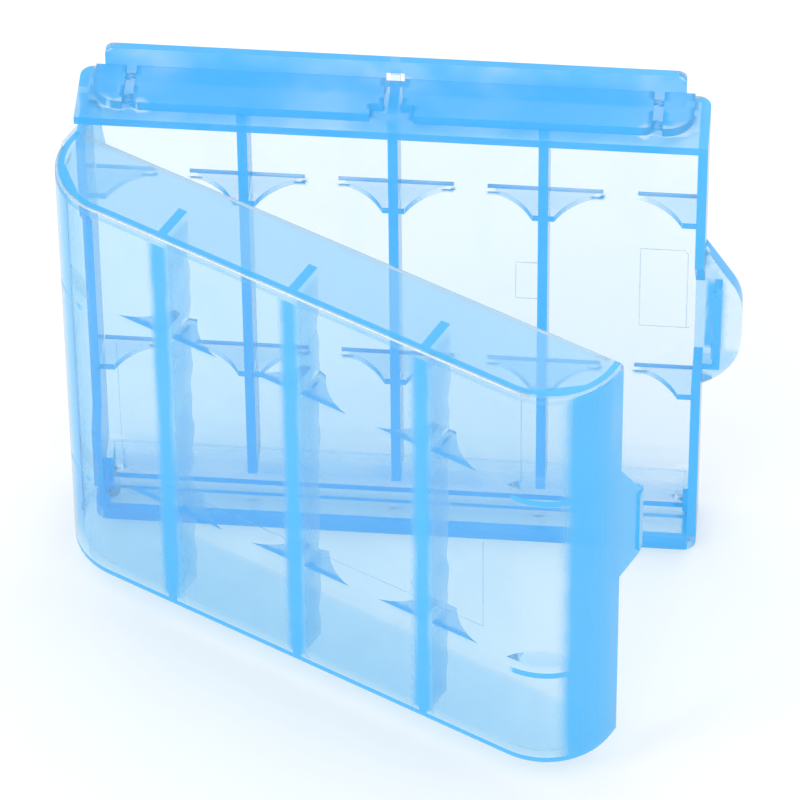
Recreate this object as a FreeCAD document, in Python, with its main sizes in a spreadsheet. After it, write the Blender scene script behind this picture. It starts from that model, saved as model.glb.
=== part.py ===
import FreeCAD, Part
import math
import os
import re

import Sketcher

# Battery storage case for four round cells side by side: a shallow tray and a deeper hinged lid.
#
# The case stands upright as it does in use on a shelf. X runs along the row of cells, Y runs from
# the lid's side to the tray's back, and Z runs up along the cells. The origin is on the ground,
# in the middle of the tray's open front. The lid is drawn closed and then swung open about its pins.

# Driving dimensions in millimetres, and degrees for angles
SIZES = {
    # Tray shell
    "tray_width": 82.0,
    "tray_height": 75.8,
    "tray_depth": 9.8,
    "wall": 1.25,
    "back_gauge": 1.2,
    "back_corner": 1.8,
    "floor_top": 2.3,
    "floor_gauge": 0.9,
    "skirt_front": 0.9,
    "skirt_side": 1.9,
    "skirt_corner": 1.8,
    # Ribs between the cells, and the curved seats that they carry
    "end_room": 1.74,
    "rib_gauge": 1.3,
    "rib_depth": 5.1,
    "seat_gauge": 1.0,
    "tray_seat_radius": 9.3,
    "tray_seat_relief": 0.14,
    "tray_seat_low": 26.2,
    "tray_seat_high": 58.3,
    # Thicker foot of the tray's walls
    "band_top": 6.8,
    "band_gauge": 0.5,
    "side_band_gauge": 0.8,
    "side_band_start": 5.0,
    "block_top": 3.2,
    "block_reach": 2.0,
    "block_depth": 1.9,
    # Strips under the floor
    "narrow_strip_start": 3.7,
    "narrow_strip_gauge": 0.6,
    "narrow_strip_drop": 0.5,
    "wide_strip_start": 5.7,
    "wide_strip_gauge": 0.9,
    "wide_strip_drop": 1.0,
    # Rail on the tray's top, which joins one case to the next
    "flange_inset": 3.25,
    "flange_height": 4.3,
    "flange_gauge": 1.05,
    "flange_corner": 1.2,
    "pad_start": 1.25,
    "pad_inset": 7.4,
    "pad_front": 1.9,
    "pad_back": 9.3,
    "pad_height": 1.4,
    "pad_corner": 1.0,
    "pad_notch_width": 1.6,
    "pad_notch_depth": 2.0,
    "lug_inset": 2.1,
    "lug_width": 3.95,
    "lug_corner": 3.6,
    "slot_half": 1.2,
    "slot_height": 2.3,
    "rail_clearance": 0.1,
    "link_gauge": 1.3,
    "link_height": 2.0,
    "link_root_gap": 0.08,
    # Finger tab and catch on the tray's free side
    "tab_gauge": 2.2,
    "tab_low": 24.9,
    "tab_height": 25.0,
    "tab_reach": 5.0,
    "tab_slope_reach": 3.57,
    "tab_slope_drop": 6.05,
    "tab_upper_radius": 10.0,
    "tab_flat_high": 38.7,
    "tab_flat_low": 33.8,
    "tab_lower_radius": 9.8,
    "catch_gauge": 1.0,
    "catch_front": 4.6,
    "catch_low": 30.6,
    "catch_high": 44.7,
    "catch_bead": 0.25,
    "catch_bead_depth": 0.7,
    # Lid shell, closed
    "lid_low": 3.76,
    "lid_headroom": 2.84,
    "lid_depth": 11.3,
    "lid_overhang": 1.57,
    "lid_end_radius": 9.9,
    "lid_edge": 0.6,
    "rim_gap": 0.25,
    "heel_step": 0.5,
    "heel_step_depth": 2.8,
    "lid_rib_upper_depth": 4.9,
    "lid_rib_lower_depth": 3.7,
    "lid_seat_radius": 9.2,
    "lid_seat_relief": 0.26,
    "lid_seat_low": 21.1,
    "lid_seat_high": 53.7,
    # Hinge
    "hinge_edge": 2.18,
    "ear_radius": 1.05,
    "hinge_set": 3.06,
    "pin_radius": 0.7,
    "pin_length": 0.75,
    "pin_clearance": 0.05,
    "end_play": 0.1,
    "socket_depth": 0.9,
    "ear_flare": 3.0,
    "rim_relief": 0.75,
    "ear_notch": 5.9,
    "ear_notch_margin": 0.5,
    "window_low": 16.2,
    "window_high": 57.2,
    "window_depth": 3.0,
    "opening_angle": 26.76,
    # Latch tongue, closed
    "tongue_gauge": 0.85,
    "tongue_clearance": 0.1,
    "tongue_reach": 7.0,
    "tongue_low": 32.2,
    "tongue_tip_high": 44.7,
    "tongue_root_high": 53.8,
    "tongue_root_gap": 0.06,
    "tongue_margin": 0.5,
    "tongue_round": 1.0,
    "barb_height": 0.3,
    "barb_play": 0.1,
    "barb_inset": 1.0,
    "bump_radius": 2.0,
    "bump_height": 0.4,
    # Length by which every cut runs past the wall that it goes through
    "overrun": 0.4,
}

# Dimensions that follow from the driving ones, by name
FOLLOWING = {
    "rib_pitch": "(tray_width / 2 - end_room) / 2",
    "end_bay": "rib_pitch + rib_pitch / 2",
    "flange_half": "tray_width / 2 - flange_inset",
    "pad_end": "tray_width / 2 - pad_inset",
    "lug_end": "tray_width / 2 - lug_inset",
    "lug_start": "tray_width / 2 - lug_inset - lug_width",
    "hinge_inset": "tray_width / 2 - hinge_edge",
    "lid_heel": "tray_width / 2 - hinge_edge + ear_radius",
    "lid_reach": "tray_width / 2 + lid_overhang",
    "lid_height": "tray_height - lid_headroom - lid_low",
}

# Places worked out from them, written as the sheet's own formulas
TRAY_SIDE = "(tray_width / 2)"
INNER_SIDE = "(tray_width / 2 - wall)"
BACK_INNER = "(tray_depth - back_gauge)"
TOP_INNER = "(tray_height - wall)"
FLOOR_UNDER = "(floor_top - floor_gauge)"
RIB_FRONT = "(tray_depth - back_gauge - rib_depth)"
TRAY_SEAT_AXIS = "(tray_depth - back_gauge - tray_seat_radius + tray_seat_relief)"
FLANGE_FRONT = "(tray_depth - flange_gauge)"
TAB_FRONT = "(tray_depth - tab_gauge)"
TONGUE_INNER = "(tray_width / 2 + tongue_clearance)"
TONGUE_OUTER = "(tray_width / 2 + tongue_clearance + tongue_gauge)"
CATCH_INNER = "(tray_width / 2 + 2 * tongue_clearance + tongue_gauge + catch_bead)"
CATCH_OUTER = "(tray_width / 2 + 2 * tongue_clearance + tongue_gauge + catch_bead + catch_gauge)"
TONGUE_SLOPE = "((tongue_root_high - tongue_tip_high) / tongue_reach)"
LID_TOP = "(lid_low + lid_height)"
LID_RIM = "(0 - rim_gap)"
LID_FACE_INNER = "(0 - rim_gap - lid_depth + wall)"
LID_SEAT_AXIS = "(0 - rim_gap - lid_depth + wall + lid_seat_radius - lid_seat_relief)"

doc = FreeCAD.newDocument("battery_case")
sheet = doc.addObject("Spreadsheet::Sheet", "sizes")
for row, (alias, number) in enumerate(SIZES.items(), 1):
    sheet.set("A%d" % row, alias)
    sheet.set("B%d" % row, str(number))
    sheet.setAlias("B%d" % row, alias)
doc.recompute()


def spelled(formula, prefix=""):
    """Write a formula out in driving dimensions alone, each with a prefix."""
    def word(match):
        name = match[0]
        if name in FOLLOWING:
            return "(%s)" % spelled(FOLLOWING[name], prefix)
        return prefix + name if name in SIZES else name
    return re.sub(r"[a-z_]+", word, formula)


def bound(formula):
    """Turn a formula in size names into one that reads the sheet's cells."""
    return spelled(formula, "sizes.")


def value(formula):
    """Work a formula out with the sheet's present numbers."""
    return float(sheet.evalExpression(spelled(formula)))


def new_body(name, offset=("0", "0")):
    """Start a piece. Its sketches are drawn in the closed case's frame, shifted by the offset."""
    body = doc.addObject("PartDesign::Body", name)
    body.Label = name
    return {"body": body, "offset": offset, "count": 0}


def new_sketch(piece, plane, height):
    """Lay a sketch on the XY, XZ or YZ plane, raised to a height along Z, Y or X."""
    body = piece["body"]
    piece["count"] += 1
    sketch = body.newObject("Sketcher::SketchObject", "%s_sketch_%d" % (body.Name, piece["count"]))
    origin_plane = [item for item in body.Origin.OriginFeatures if item.Role == plane + "_Plane"][0]
    sketch.AttachmentSupport = [(origin_plane, "")]
    sketch.MapMode = "FlatFace"
    along_x, along_y = piece["offset"]
    shifts = {
        "XY": (along_x, along_y, height),
        "XZ": (along_x, "0", "0 - (%s) - (%s)" % (height, along_y)),
        "YZ": (along_y, "0", "(%s) + (%s)" % (height, along_x)),
    }
    for axis, formula in zip("xyz", shifts[plane]):
        sketch.setExpression("AttachmentOffset.Base." + axis, bound(formula))
    return sketch


def arc_between(start, end, radius, side):
    """Give the arc of a radius from start to end that bulges to the left (1) or right (-1)."""
    chord = end - start
    half = chord.Length / 2
    across = FreeCAD.Vector(-chord.y, chord.x, 0).normalize() * side
    drop = math.sqrt(max(radius ** 2 - half ** 2, 0))
    middle = (start + end) / 2 + across * (radius - drop)
    return Part.Arc(start, middle, end)


def outline(piece, plane, height, corners):
    """Draw a closed outline. A corner is (x, y), or (x, y, radius, side) where an arc leads to it.

    Every corner is held by its two distances from the origin and every arc by its radius.
    """
    sketch = new_sketch(piece, plane, height)
    places = [FreeCAD.Vector(value(corner[0]), value(corner[1]), 0) for corner in corners]
    for number, corner in enumerate(corners):
        start, end = places[number - 1], places[number]
        if len(corner) == 2:
            sketch.addGeometry(Part.LineSegment(start, end))
        else:
            sketch.addGeometry(arc_between(start, end, value(corner[2]), corner[3]))
    ends = []
    for number, corner in enumerate(corners):
        # An arc is stored anticlockwise, so one that bulges to the left ends at its first point
        ends.append(1 if len(corner) == 4 and corner[3] > 0 else 2)
    for number, corner in enumerate(corners):
        following = (number + 1) % len(corners)
        sketch.addConstraint(
            Sketcher.Constraint("Coincident", number, ends[number], following, 3 - ends[following]))
        for kind, formula, place in (("DistanceX", corner[0], places[number].x),
                                     ("DistanceY", corner[1], places[number].y)):
            index = sketch.addConstraint(Sketcher.Constraint(kind, -1, 1, number, ends[number], place))
            sketch.setExpression("Constraints[%d]" % index, bound(formula))
        if len(corner) == 4:
            index = sketch.addConstraint(Sketcher.Constraint("Radius", number, value(corner[2])))
            sketch.setExpression("Constraints[%d]" % index, bound(corner[2]))
    return sketch


def rectangle(piece, plane, height, left, right, low, high):
    """Draw a rectangle between two places across and two places up."""
    return outline(piece, plane, height, [(left, low), (right, low), (right, high), (left, high)])


def circle(piece, plane, height, across, up, radius):
    """Draw a circle about a centre."""
    sketch = new_sketch(piece, plane, height)
    centre = FreeCAD.Vector(value(across), value(up), 0)
    sketch.addGeometry(Part.Circle(centre, FreeCAD.Vector(0, 0, 1), value(radius)))
    for kind, formula, place in (("DistanceX", across, centre.x), ("DistanceY", up, centre.y)):
        index = sketch.addConstraint(Sketcher.Constraint(kind, -1, 1, 0, 3, place))
        sketch.setExpression("Constraints[%d]" % index, bound(formula))
    index = sketch.addConstraint(Sketcher.Constraint("Radius", 0, value(radius)))
    sketch.setExpression("Constraints[%d]" % index, bound(radius))
    return sketch


def extrude(piece, kind, name, sketch, length, backwards):
    """Pad or pocket a sketch along +Z, +Y or +X, and stop if it changed nothing."""
    body = piece["body"]
    before = body.Shape.Volume if body.Tip else 0
    feature = body.newObject("PartDesign::" + kind, name)
    feature.Profile = sketch
    feature.setExpression("Length", bound(length))
    feature.Reversed = backwards
    doc.recompute()
    grown = feature.Shape.Volume - before
    if (kind == "Pad") != (grown > 0) or grown == 0:
        raise RuntimeError("%s changed the volume by %g" % (name, grown))
    return feature


def add(piece, name, sketch, length):
    """Pad a sketch towards the positive axis that it faces. The XZ plane faces backwards."""
    plane = sketch.AttachmentSupport[0][0].Role
    return extrude(piece, "Pad", name, sketch, length, plane == "XZ_Plane")


def cut(piece, name, sketch, length):
    """Pocket a sketch towards the positive axis that it faces."""
    plane = sketch.AttachmentSupport[0][0].Role
    return extrude(piece, "Pocket", name, sketch, length, plane != "XZ_Plane")


def mirror(piece, name, features):
    """Repeat features on the other side of the middle of the case."""
    body = piece["body"]
    mirrored = body.newObject("PartDesign::Mirrored", name)
    mirrored.Originals = features
    plane = [item for item in body.Origin.OriginFeatures if item.Role == "YZ_Plane"][0]
    mirrored.MirrorPlane = (plane, [""])
    body.Tip = mirrored
    doc.recompute()
    return mirrored


def repeat_at_ribs(piece, name, features):
    """Repeat what belongs to the first rib at the other two."""
    body = piece["body"]
    pattern = body.newObject("PartDesign::LinearPattern", name)
    pattern.Originals = features
    axis = [item for item in body.Origin.OriginFeatures if item.Role == "X_Axis"][0]
    pattern.Direction = (axis, [""])
    pattern.setExpression("Length", bound("2 * rib_pitch"))
    pattern.Occurrences = 3
    body.Tip = pattern
    doc.recompute()
    return pattern


def round_edges(piece, name, radius, keep):
    """Fillet the edges whose middle point passes a test."""
    body = piece["body"]
    base = body.Tip
    names = []
    for number, edge in enumerate(base.Shape.Edges, 1):
        middle = edge.valueAt((edge.FirstParameter + edge.LastParameter) / 2)
        if keep(middle):
            names.append("Edge%d" % number)
    if not names:
        raise RuntimeError("%s found no edge to round" % name)
    fillet = body.newObject("PartDesign::Fillet", name)
    fillet.Base = (base, names)
    fillet.setExpression("Radius", bound(radius))
    doc.recompute()
    return fillet


def close(first, second):
    """Say whether two places are the same to a thousandth of the wall."""
    return abs(first - second) < value("wall") / 1000


def half_chord(radius, line, axis):
    """Give half the width of a cell's circle where a line crosses it."""
    return "sqrt({0} ^ 2 - ({1} - {2}) ^ 2)".format(radius, line, axis)


def rib_seat(piece, name, level, cell, root, tip, side):
    """Pad the seat plate on the first rib: a flat tip between the arcs of the two cells beside it."""
    radius, axis = cell
    at_root = "(rib_pitch / 2 - %s)" % half_chord(radius, root, axis)
    at_tip = "(rib_pitch / 2 - %s)" % half_chord(radius, tip, axis)
    sketch = outline(piece, "XY", "%s - seat_gauge / 2" % level, [
        ("0 - rib_pitch - %s" % at_root, root),
        ("0 - rib_pitch - %s" % at_tip, tip, radius, side),
        ("0 - rib_pitch + %s" % at_tip, tip),
        ("0 - rib_pitch + %s" % at_root, root, radius, side),
    ])
    return add(piece, name, sketch, "seat_gauge")


def tray_shell(piece):
    """Pad the tray's block, hollow it from the front and open it underneath for the next case's rail."""
    block = rectangle(piece, "XY", "0", "0 - tray_width / 2", "tray_width / 2", "0", "tray_depth")
    add(piece, "block", block, "tray_height")
    side, depth = value(TRAY_SIDE), value("tray_depth")
    round_edges(piece, "back_corners", "back_corner",
                lambda place: close(abs(place.x), side) and close(place.y, depth))
    hollow = rectangle(piece, "XY", "floor_top", "0 - " + INNER_SIDE, INNER_SIDE, "0 - overrun", BACK_INNER)
    cut(piece, "cell_space", hollow, "tray_height - wall - floor_top")
    under = rectangle(piece, "XY", "0 - overrun", "skirt_side - tray_width / 2", "tray_width / 2 - skirt_side",
                      "skirt_front", "tray_depth + overrun")
    cut(piece, "under_floor", under, FLOOR_UNDER + " + overrun")
    pocket = rectangle(piece, "XY", "0 - overrun", "0 - flange_half - rail_clearance",
                       "flange_half + rail_clearance", FLANGE_FRONT + " - rail_clearance", "tray_depth + overrun")
    cut(piece, "flange_pocket", pocket, "flange_height + rail_clearance + overrun")
    trim = outline(piece, "XY", "0 - overrun", [
        (TRAY_SIDE + " - skirt_corner", "0 - overrun"),
        (TRAY_SIDE + " + overrun", "0 - overrun"),
        (TRAY_SIDE + " + overrun", "skirt_corner"),
        (TRAY_SIDE, "skirt_corner"),
        (TRAY_SIDE + " - skirt_corner", "0", "skirt_corner", 1),
    ])
    mirror(piece, "skirt_corners", [cut(piece, "skirt_corner", trim, "floor_top + overrun")])


def tray_foot(piece):
    """Pad the thicker foot of the back and side walls, and the two strips under the floor."""
    band = rectangle(piece, "XY", FLOOR_UNDER, "0 - " + INNER_SIDE, INNER_SIDE,
                     BACK_INNER + " - band_gauge", FLANGE_FRONT + " - rail_clearance")
    add(piece, "back_band", band, "band_top - " + FLOOR_UNDER)
    side = rectangle(piece, "XY", FLOOR_UNDER, INNER_SIDE + " - side_band_gauge", INNER_SIDE,
                     "side_band_start", BACK_INNER)
    side_band = add(piece, "side_band", side, "band_top - " + FLOOR_UNDER)
    corner = rectangle(piece, "XY", FLOOR_UNDER, INNER_SIDE + " - block_reach", INNER_SIDE,
                       BACK_INNER + " - block_depth", BACK_INNER)
    corner_block = add(piece, "corner_block", corner, "block_top - " + FLOOR_UNDER)
    mirror(piece, "other_side_foot", [side_band, corner_block])
    for name in ("narrow", "wide"):
        strip = rectangle(piece, "XY", "%s - %s_strip_drop" % (FLOOR_UNDER, name),
                          "skirt_side - tray_width / 2", "tray_width / 2 - skirt_side",
                          "%s_strip_start" % name, "{0}_strip_start + {0}_strip_gauge".format(name))
        add(piece, name + "_strip", strip, "%s_strip_drop" % name)


def tray_ribs(piece):
    """Pad the ribs between the cells and the curved seats at two levels."""
    cell = ("tray_seat_radius", TRAY_SEAT_AXIS)
    rib = rectangle(piece, "XY", "band_top", "0 - rib_pitch - rib_gauge / 2", "0 - rib_pitch + rib_gauge / 2",
                    RIB_FRONT, BACK_INNER)
    features = [add(piece, "rib", rib, TOP_INNER + " - band_top")]
    for level in ("low", "high"):
        features.append(rib_seat(piece, "seat_" + level, "tray_seat_" + level, cell, BACK_INNER, RIB_FRONT, 1))
    repeat_at_ribs(piece, "all_ribs", features)
    half_seats = []
    for level in ("low", "high"):
        sketch = outline(piece, "XY", "tray_seat_%s - seat_gauge / 2" % level, [
            (INNER_SIDE, RIB_FRONT),
            (INNER_SIDE, BACK_INNER),
            ("end_bay + " + half_chord(cell[0], BACK_INNER, cell[1]), BACK_INNER),
            ("end_bay + " + half_chord(cell[0], RIB_FRONT, cell[1]), RIB_FRONT, cell[0], 1),
        ])
        half_seats.append(add(piece, "wall_seat_" + level, sketch, "seat_gauge"))
    mirror(piece, "other_wall_seats", half_seats)


def tray_rail(piece):
    """Pad the rail on top: two pads, two end lugs and the upright flange with its snap slot."""
    pad = outline(piece, "XY", "tray_height", [
        ("pad_start", "pad_back"),
        ("pad_start", "pad_front + pad_notch_depth"),
        ("pad_start + pad_notch_width", "pad_front + pad_notch_depth"),
        ("pad_start + pad_notch_width", "pad_front"),
        ("pad_end - pad_corner", "pad_front"),
        ("pad_end", "pad_front + pad_corner", "pad_corner", -1),
        ("pad_end", "pad_back"),
    ])
    lug = outline(piece, "XY", "tray_height", [
        ("lug_start", FLANGE_FRONT),
        ("lug_start", "pad_front"),
        ("lug_end - lug_corner", "pad_front"),
        ("lug_end", "pad_front + lug_corner", "lug_corner", -1),
        ("lug_end", FLANGE_FRONT),
    ])
    mirror(piece, "other_pad_and_lug", [
        add(piece, "pad", pad, "pad_height"),
        add(piece, "lug", lug, "pad_height"),
    ])
    flange = rectangle(piece, "XY", "tray_height", "0 - flange_half", "flange_half", FLANGE_FRONT, "tray_depth")
    add(piece, "flange", flange, "flange_height")
    top = value("tray_height + flange_height")
    half = value("flange_half")
    round_edges(piece, "flange_corners", "flange_corner",
                lambda place: close(abs(place.x), half) and close(place.z, top))
    slot = rectangle(piece, "XY", "tray_height", "0 - slot_half", "slot_half",
                     FLANGE_FRONT + " - overrun", "tray_depth + overrun")
    cut(piece, "snap_slot", slot, "slot_height")


def tray_catch(piece):
    """Open the free side wall for the latch tongue and add the finger tab with its catch."""
    way_in = outline(piece, "YZ", INNER_SIDE + " - overrun", [
        ("0 - overrun", "tongue_low - tongue_margin"),
        (TAB_FRONT, "tongue_low - tongue_margin"),
        (TAB_FRONT, "tongue_tip_high + tongue_margin"),
        ("tongue_reach - rim_gap", "tongue_tip_high + tongue_margin"),
        ("0 - overrun", "tongue_root_high + tongue_margin + (overrun - rim_gap) * " + TONGUE_SLOPE),
    ])
    cut(piece, "tongue_way", way_in, "wall + 2 * overrun")
    tab_top = "(tab_low + tab_height)"
    tab = outline(piece, "XZ", TAB_FRONT, [
        (INNER_SIDE, "tab_low"),
        (INNER_SIDE, tab_top),
        (TRAY_SIDE, tab_top),
        (TRAY_SIDE + " + tab_slope_reach", tab_top + " - tab_slope_drop"),
        (TRAY_SIDE + " + tab_reach", "tab_flat_high", "tab_upper_radius", 1),
        (TRAY_SIDE + " + tab_reach", "tab_flat_low"),
        (TRAY_SIDE, "tab_low", "tab_lower_radius", 1),
    ])
    add(piece, "finger_tab", tab, "tab_gauge")
    wall = rectangle(piece, "XY", "catch_low", CATCH_INNER, CATCH_OUTER, "catch_front", TAB_FRONT)
    add(piece, "catch_wall", wall, "catch_high - catch_low")
    shelf = rectangle(piece, "XY", "catch_low", TRAY_SIDE, CATCH_INNER, "catch_front", TAB_FRONT)
    add(piece, "catch_shelf", shelf, "tongue_low - tongue_margin - catch_low")
    bead = outline(piece, "XY", "tongue_low - tongue_margin", [
        (CATCH_INNER, "catch_front"),
        (CATCH_INNER, "catch_front + catch_bead_depth"),
        (CATCH_INNER + " - catch_bead", "catch_front + catch_bead_depth"),
    ])
    add(piece, "catch_bead", bead, "catch_high - tongue_low + tongue_margin")


def tray_hinge_side(piece):
    """Lower the hinge side's rim where the lid swings past it, and sink the two pin sockets."""
    ear_low = "(lid_low + wall + ear_notch_margin)"
    ear_high = "(lid_low + lid_height - wall - ear_notch_margin)"
    rim = outline(piece, "YZ", "0 - tray_width / 2 - overrun", [
        ("0 - overrun", "floor_top"),
        ("ear_notch", "floor_top"),
        ("ear_notch", ear_low),
        ("rim_relief", ear_low),
        ("rim_relief", "window_low"),
        ("window_depth", "window_low + window_depth"),
        ("window_depth", "window_high - window_depth"),
        ("rim_relief", "window_high"),
        ("rim_relief", ear_high),
        ("ear_notch", ear_high),
        ("ear_notch", TOP_INNER),
        ("0 - overrun", TOP_INNER),
    ])
    cut(piece, "hinge_rim", rim, "wall + 2 * overrun")
    for name, height, depth in (("upper_socket", TOP_INNER, "socket_depth"),
                                ("lower_socket", "floor_top - socket_depth", "socket_depth")):
        hole = circle(piece, "XY", height, "0 - hinge_inset", "hinge_set", "pin_radius + pin_clearance")
        cut(piece, name, hole, depth)


def make_tray():
    """Build the tray."""
    piece = new_body("tray")
    tray_shell(piece)
    tray_foot(piece)
    tray_ribs(piece)
    tray_rail(piece)
    tray_catch(piece)
    tray_hinge_side(piece)
    return piece["body"]


def lid_profile(piece, height, inset, rim):
    """Draw the lid's plan, inset from its outside: two quarter-round ends and a flat face."""
    radius = "(lid_end_radius - %s)" % inset
    turn = "(0 - rim_gap - lid_depth + lid_end_radius)"
    face = "(0 - rim_gap - lid_depth + %s)" % inset
    return outline(piece, "XY", height, [
        ("%s - lid_heel" % inset, rim),
        ("%s - lid_heel" % inset, turn),
        ("lid_end_radius - lid_heel", face, radius, -1),
        ("lid_reach - lid_end_radius", face),
        ("lid_reach - %s" % inset, turn, radius, -1),
        ("lid_reach - %s" % inset, rim),
    ])


def lid_shell(piece):
    """Pad the lid's block, round its face edges, step its heel and hollow it from the rim."""
    add(piece, "block", lid_profile(piece, "lid_low", "0", LID_RIM), "lid_height")
    low, high = value("lid_low"), value(LID_TOP)
    # The piece's own frame starts at the hinge
    rim = value("0 - rim_gap - hinge_set")
    round_edges(piece, "face_edges", "lid_edge",
                lambda place: (close(place.z, low) or close(place.z, high)) and not close(place.y, rim))
    step = rectangle(piece, "XY", "lid_low - overrun", "0 - lid_heel - overrun", "heel_step - lid_heel",
                     "0 - rim_gap - heel_step_depth", "overrun")
    cut(piece, "heel_step", step, "lid_height + 2 * overrun")
    cut(piece, "cell_space", lid_profile(piece, "lid_low + wall", "wall", "overrun"), "lid_height - 2 * wall")


def lid_rib_depth(level):
    """Give how deep the lid's ribs stand at a level: they taper from the top to the bottom."""
    share = "((%s - lid_low - wall) / (lid_height - 2 * wall))" % level
    return "(lid_rib_lower_depth + (lid_rib_upper_depth - lid_rib_lower_depth) * %s)" % share


def lid_ribs(piece):
    """Pad the lid's tapered ribs and the curved seats at two levels."""
    rib = outline(piece, "YZ", "0 - rib_pitch - rib_gauge / 2", [
        (LID_FACE_INNER, "lid_low + wall"),
        (LID_FACE_INNER + " + lid_rib_lower_depth", "lid_low + wall"),
        (LID_FACE_INNER + " + lid_rib_upper_depth", "lid_low + lid_height - wall"),
        (LID_FACE_INNER, "lid_low + lid_height - wall"),
    ])
    features = [add(piece, "rib", rib, "rib_gauge")]
    cell = ("lid_seat_radius", LID_SEAT_AXIS)
    for level in ("low", "high"):
        tip = "(%s + %s)" % (LID_FACE_INNER, lid_rib_depth("lid_seat_" + level))
        features.append(rib_seat(piece, "seat_" + level, "lid_seat_" + level, cell, LID_FACE_INNER, tip, -1))
    repeat_at_ribs(piece, "all_ribs", features)
    for level in ("low", "high"):
        end_seat(piece, "free_end_seat_" + level, level, 1, "lid_reach")
        end_seat(piece, "heel_seat_" + level, level, -1, "lid_heel")


def end_seat(piece, name, level, sign, reach):
    """Pad the crescent seat in a rounded end, rooted half way into the end's wall."""
    radius, axis = "lid_seat_radius", LID_SEAT_AXIS
    tip = "(%s + %s)" % (LID_FACE_INNER, lid_rib_depth("lid_seat_" + level))
    turn = "(0 - rim_gap - lid_depth + lid_end_radius)"
    root = "(%s - wall / 2)" % LID_FACE_INNER
    outer = "(lid_end_radius - wall / 2)"
    at_face = "%d * (%s + %s)" % (sign, "end_bay", half_chord(radius, LID_FACE_INNER, axis))
    at_tip = "%d * (%s + %s)" % (sign, "end_bay", half_chord(radius, tip, axis))
    wall_at_tip = "%d * (%s - lid_end_radius + %s)" % (sign, reach, half_chord(outer, tip, turn))
    sketch = outline(piece, "XY", "lid_seat_%s - seat_gauge / 2" % level, [
        (at_face, root),
        ("%d * (%s - lid_end_radius)" % (sign, reach), root),
        (wall_at_tip, tip, outer, -sign),
        (at_tip, tip),
        (at_face, LID_FACE_INNER, radius, -sign),
    ])
    return add(piece, name, sketch, "seat_gauge")


def lid_ears(piece):
    """Carry the lid's two end walls back to the hinge line, each with its spacer and pin."""
    ear_low = {"upper": "lid_low + lid_height - wall", "lower": "lid_low"}
    spacer = {
        "upper": (LID_TOP, "tray_height - wall - end_play - %s" % LID_TOP),
        "lower": ("floor_top + end_play", "lid_low - floor_top - end_play"),
    }
    pin = {
        "upper": ("tray_height - wall - end_play", "pin_length"),
        "lower": ("floor_top + end_play - pin_length", "pin_length"),
    }
    for end in ("upper", "lower"):
        ear = outline(piece, "XY", ear_low[end], [
            ("0 - hinge_inset - ear_radius", LID_RIM + " - heel_step_depth"),
            ("ear_flare - hinge_inset + ear_radius", LID_RIM + " - heel_step_depth"),
            ("ear_flare - hinge_inset + ear_radius", LID_RIM),
            ("ear_radius - hinge_inset", "hinge_set"),
            ("0 - hinge_inset", "hinge_set + ear_radius", "ear_radius", -1),
            ("0 - hinge_inset - ear_radius", "hinge_set", "ear_radius", -1),
        ])
        add(piece, end + "_ear", ear, "wall")
        for name, radius, (height, length) in (("_spacer", "ear_radius", spacer[end]),
                                               ("_pin", "pin_radius", pin[end])):
            disc = circle(piece, "XY", height, "0 - hinge_inset", "hinge_set", radius)
            add(piece, end + name, disc, length)


def swing_open(body):
    """Stand a piece drawn closed about the hinge at its place in the open case."""
    body.setExpression("Placement.Base.x", bound("0 - hinge_inset"))
    body.setExpression("Placement.Base.y", bound("hinge_set"))
    body.setExpression("Placement.Rotation.Angle", bound("0 - opening_angle"))


def make_lid():
    """Build the lid."""
    piece = new_body("lid", ("hinge_inset", "0 - hinge_set"))
    lid_shell(piece)
    lid_ribs(piece)
    lid_ears(piece)
    swing_open(piece["body"])
    return piece["body"]


def make_latch_tongue():
    """Build the springy tongue on the lid's free edge, with the barb that snaps behind the catch."""
    piece = new_body("latch_tongue", ("hinge_inset", "0 - hinge_set"))
    root = "(tongue_root_gap - rim_gap)"
    tip = "(tongue_reach - rim_gap)"
    blade = outline(piece, "YZ", TONGUE_INNER, [
        (root, "tongue_low"),
        (tip + " - tongue_round", "tongue_low"),
        (tip, "tongue_low + tongue_round", "tongue_round", -1),
        (tip, "tongue_tip_high - tongue_round"),
        (tip + " - tongue_round", "tongue_tip_high", "tongue_round", -1),
        (root, "tongue_root_high"),
    ])
    add(piece, "blade", blade, "tongue_gauge")
    barb_back = "(catch_front + catch_bead_depth + barb_play)"
    barb = outline(piece, "XY", "tongue_low + barb_inset", [
        (TONGUE_OUTER, barb_back),
        (TONGUE_OUTER + " + barb_height", barb_back),
        (TONGUE_OUTER, tip),
    ])
    add(piece, "barb", barb, "tongue_tip_high - tongue_low - 2 * barb_inset")
    bump = outline(piece, "YZ", TONGUE_INNER + " - bump_height", [
        (root, "tongue_tip_high - bump_radius"),
        (root + " + bump_radius", "tongue_tip_high", "bump_radius", -1),
        (root, "tongue_tip_high + bump_radius", "bump_radius", -1),
    ])
    add(piece, "bump", bump, "bump_height")
    swing_open(piece["body"])
    return piece["body"]


def make_link_tongue():
    """Build the small snap tongue that stands in the flange's slot."""
    piece = new_body("link_tongue")
    tongue = rectangle(piece, "XY", "tray_height + link_root_gap", "0 - link_gauge / 2", "link_gauge / 2",
                       FLANGE_FRONT, "tray_depth")
    add(piece, "tongue", tongue, "link_height - link_root_gap")
    return piece["body"]


bodies = [make_tray(), make_lid(), make_latch_tongue(), make_link_tongue()]
doc.recompute()

for item in doc.Objects:
    if "Invalid" in item.State or "Error" in item.State:
        raise RuntimeError("%s is %s" % (item.Label, item.State))
for body in bodies:
    if body.Shape.isNull() or not body.Shape.isValid() or len(body.Shape.Solids) != 1:
        raise RuntimeError("%s is not one valid solid" % body.Label)

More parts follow.
